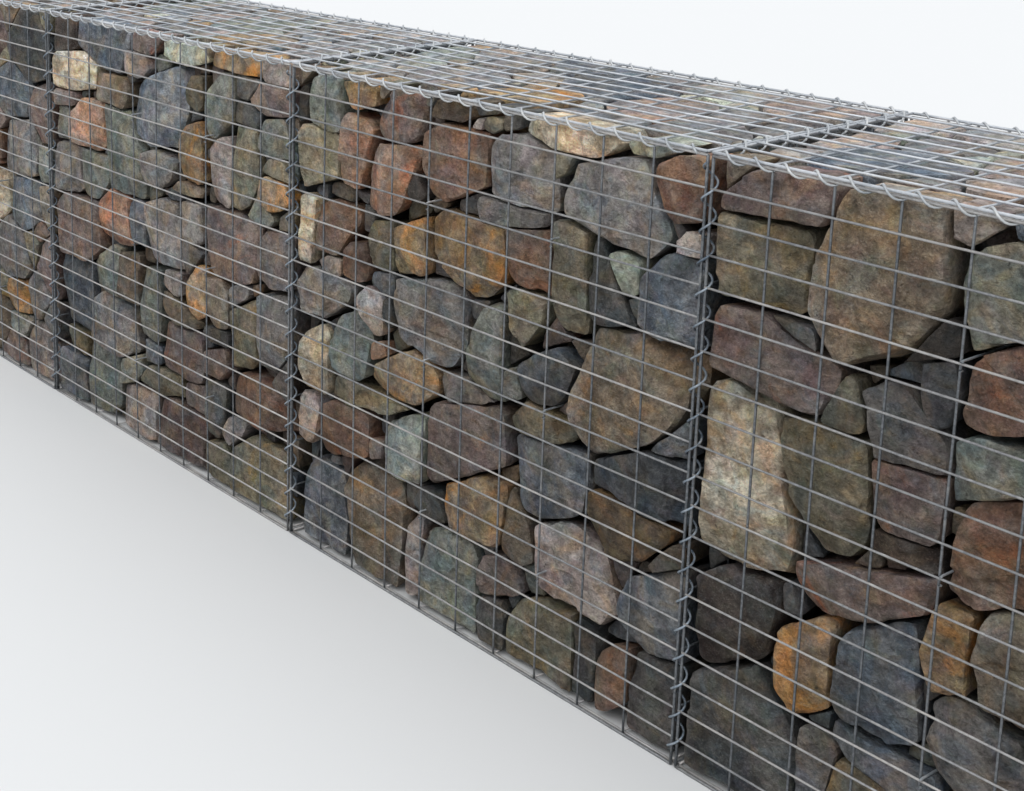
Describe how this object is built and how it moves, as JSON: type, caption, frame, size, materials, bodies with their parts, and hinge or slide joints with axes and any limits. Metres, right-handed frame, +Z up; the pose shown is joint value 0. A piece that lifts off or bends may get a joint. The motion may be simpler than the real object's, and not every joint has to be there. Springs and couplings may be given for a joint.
{
  "type": "gabion wall",
  "caption": "Freestanding gabion wall of welded wire baskets in a row, filled with broken stone, closed by lids and laced together with spiral binders.",
  "frame": {"origin": "middle of the wall's foot, on the ground", "axes": "+X along the wall, -Y out of the front face, +Z up"},
  "size_m": [4.0586, 0.5141, 1.0135],
  "materials": {
    "galvanised_mesh": "dull galvanised",
    "galvanised_binder": "dull galvanised",
    "broken_stone": "rough broken rock"
  },
  "bodies": {
    "root": {"front_panel_1": "galvanised_mesh", "back_panel_1": "galvanised_mesh", "lid_panel_1": "galvanised_mesh", "base_panel_1": "galvanised_mesh", "front_panel_2": "galvanised_mesh", "back_panel_2": "galvanised_mesh", "lid_panel_2": "galvanised_mesh", "base_panel_2": "galvanised_mesh", "front_panel_3": "galvanised_mesh", "back_panel_3": "galvanised_mesh", "lid_panel_3": "galvanised_mesh", "base_panel_3": "galvanised_mesh", "front_panel_4": "galvanised_mesh", "back_panel_4": "galvanised_mesh", "lid_panel_4": "galvanised_mesh", "base_panel_4": "galvanised_mesh", "left_end_panel": "galvanised_mesh", "right_end_panel": "galvanised_mesh", "partition_panel_1": "galvanised_mesh", "partition_panel_2": "galvanised_mesh", "partition_panel_3": "galvanised_mesh", "front_binder_1": "galvanised_binder", "front_binder_2": "galvanised_binder", "front_binder_3": "galvanised_binder", "back_binder_1": "galvanised_binder", "back_binder_2": "galvanised_binder", "back_binder_3": "galvanised_binder", "front_left_corner_binder": "galvanised_binder", "front_right_corner_binder": "galvanised_binder", "back_left_corner_binder": "galvanised_binder", "back_right_corner_binder": "galvanised_binder", "bracing_ties_1": "galvanised_binder", "bracing_ties_2": "galvanised_binder", "bracing_ties_3": "galvanised_binder", "bracing_ties_4": "galvanised_binder", "stone_fill_1": "broken_stone", "stone_fill_2": "broken_stone", "stone_fill_3": "broken_stone", "stone_fill_4": "broken_stone"}
  },
  "joints": []
}
